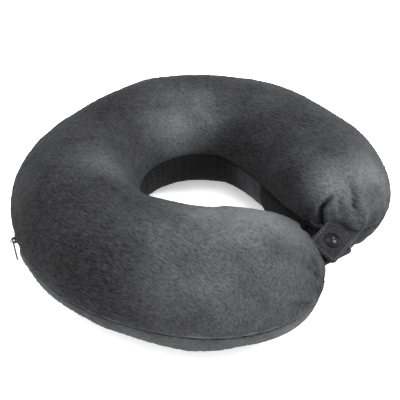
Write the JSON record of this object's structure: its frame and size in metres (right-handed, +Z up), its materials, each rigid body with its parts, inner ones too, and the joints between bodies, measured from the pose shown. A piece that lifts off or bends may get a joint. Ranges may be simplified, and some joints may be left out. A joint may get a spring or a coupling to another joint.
{
  "type": "u shaped neck pillow",
  "caption": "U-shaped travel neck pillow in dark plush over a foam core, with a zipper round the back and snap tabs that close the arm ends.",
  "frame": {"origin": "centre of the neck hole, on the surface that the pillow rests on", "axes": "+Z up from the resting surface; the pillow opens towards -Y and its back is towards +Y"},
  "size_m": [0.3158, 0.2998, 0.0941],
  "materials": {
    "plush": "short velour pile",
    "plush_tab": "short velour pile",
    "foam": "open-cell polyurethane foam",
    "thread": "polyester sewing thread",
    "zipper_tape": "woven polyester tape",
    "zipper_coil": "nylon coil",
    "zipper_metal": "gunmetal lacquer",
    "snap_black": "glossy black enamel",
    "snap_metal": "black lacquer"
  },
  "bodies": {
    "pillow": {"foam_core": "foam", "top_panel": "plush", "bottom_panel": "plush", "zipper_tape_upper": "zipper_tape", "zipper_tape_lower": "zipper_tape", "zipper_coil_upper": "zipper_coil", "zipper_coil_lower": "zipper_coil", "zipper_top_stops": "zipper_metal", "zipper_bottom_stop": "zipper_metal"},
    "upper_tab": {"upper_tab": "plush_tab", "upper_tab_stitching": "thread", "snap_cap": "snap_black", "snap_socket": "snap_metal"},
    "lower_tab": {"lower_tab": "plush_tab", "lower_tab_stitching": "thread", "snap_stud": "snap_metal", "snap_post": "snap_black"},
    "zipper_slider": {"zipper_slider": "zipper_metal"},
    "zipper_pull": {"zipper_pull": "zipper_metal"}
  },
  "joints": [
    {"name": "upper_tab_lift", "type": "hinge", "parent": "pillow", "child": "upper_tab", "pos_m": [0.0175, -0.12292, 0.04912], "axis": [-0.4532, 0.8268, 0.333], "range_deg": [0, 70]},
    {"name": "lower_tab_drop", "type": "hinge", "parent": "pillow", "child": "lower_tab", "pos_m": [-0.01847, -0.1224, 0.03853], "axis": [0.5167, 0.7515, 0.4103], "range_deg": [0, 50]},
    {"name": "zipper_travel", "type": "hinge", "parent": "pillow", "child": "zipper_slider", "pos_m": [0, 0, 0.045], "axis": [0, 0, -1], "range_deg": [0, 118]},
    {"name": "pull_swing", "type": "hinge", "parent": "zipper_slider", "child": "zipper_pull", "pos_m": [-0.13753, 0.08264, 0.045], "axis": [0.515, 0.8572, 0], "range_deg": [-15, 180]}
  ]
}
